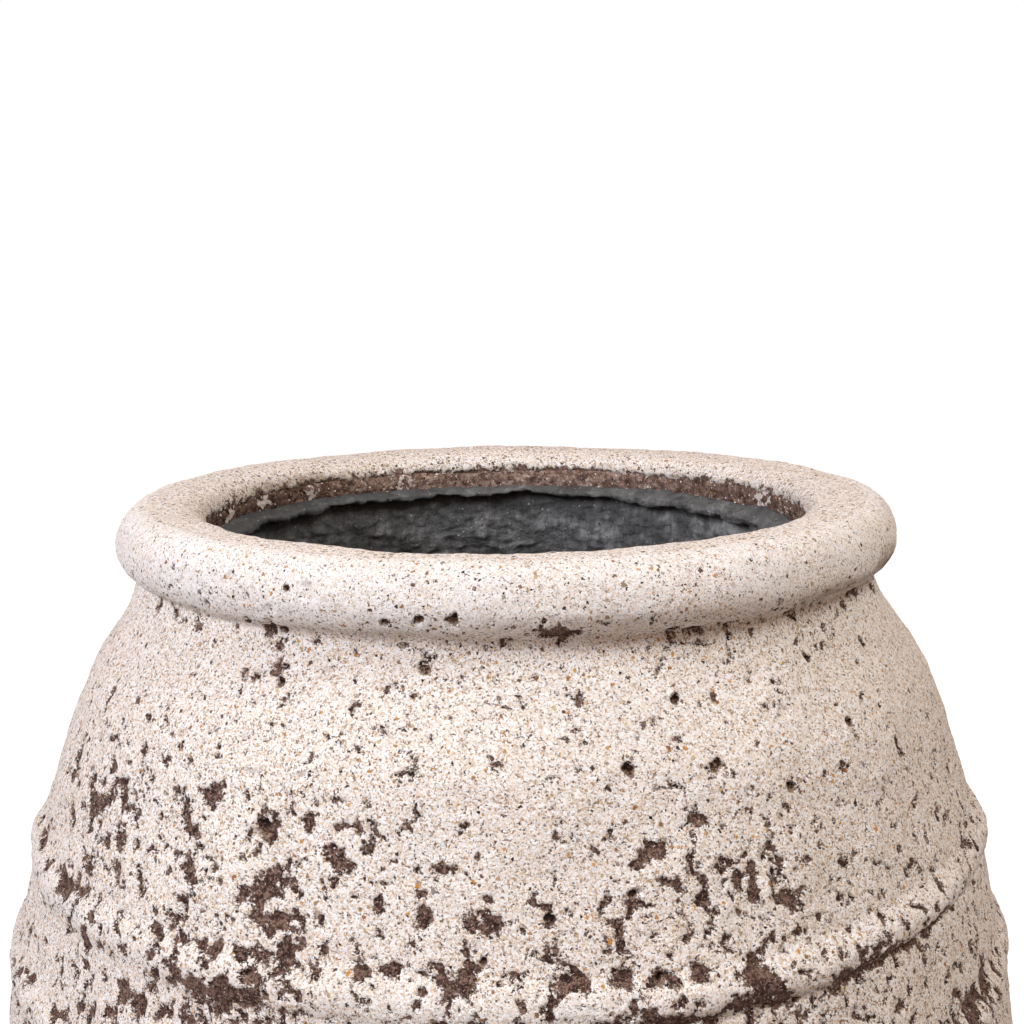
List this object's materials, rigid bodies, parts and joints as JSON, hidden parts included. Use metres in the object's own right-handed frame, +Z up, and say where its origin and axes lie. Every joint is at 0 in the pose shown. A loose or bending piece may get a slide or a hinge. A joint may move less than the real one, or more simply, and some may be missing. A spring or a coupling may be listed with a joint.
{
  "type": "jar planter",
  "caption": "Large hand-built jar planter with a thick rolled rim, a worn sand-and-lime coat over brown clay, raised ribs, a grey waterproof lining and a rubber drain bung.",
  "frame": {"origin": "on the ground at the centre of the foot ring", "axes": "+Z up along the jar's axis, -Y towards the viewer of the picture, +X to the right"},
  "size_m": [0.6179, 0.618, 0.64],
  "materials": {
    "clay": "rough unglazed brown clay",
    "stone_coat": "gritty cream sand-and-lime coat, worn and pitted",
    "lining": "brushed grey waterproof paint, satin",
    "rubber": "moulded black rubber, matt"
  },
  "bodies": {
    "jar": {"foot_ring": "clay", "base_slab": "clay", "wall_course_1": "clay", "wall_course_2": "clay", "wall_course_3": "clay", "wall_course_4": "clay", "neck_collar": "clay", "rim_roll": "clay", "lower_coat": "stone_coat", "upper_coat": "stone_coat", "rim_coat": "stone_coat", "rib_1": "stone_coat", "rib_2": "stone_coat", "rib_3": "stone_coat", "rib_4": "stone_coat", "rib_5": "stone_coat", "floor_lining": "lining", "wall_lining": "lining"},
    "bung": {"drain_plug": "rubber"}
  },
  "joints": [
    {"name": "plug_lift", "type": "slide", "parent": "jar", "child": "bung", "axis": [0, 0, 1], "range_m": [0, 0.66]}
  ]
}
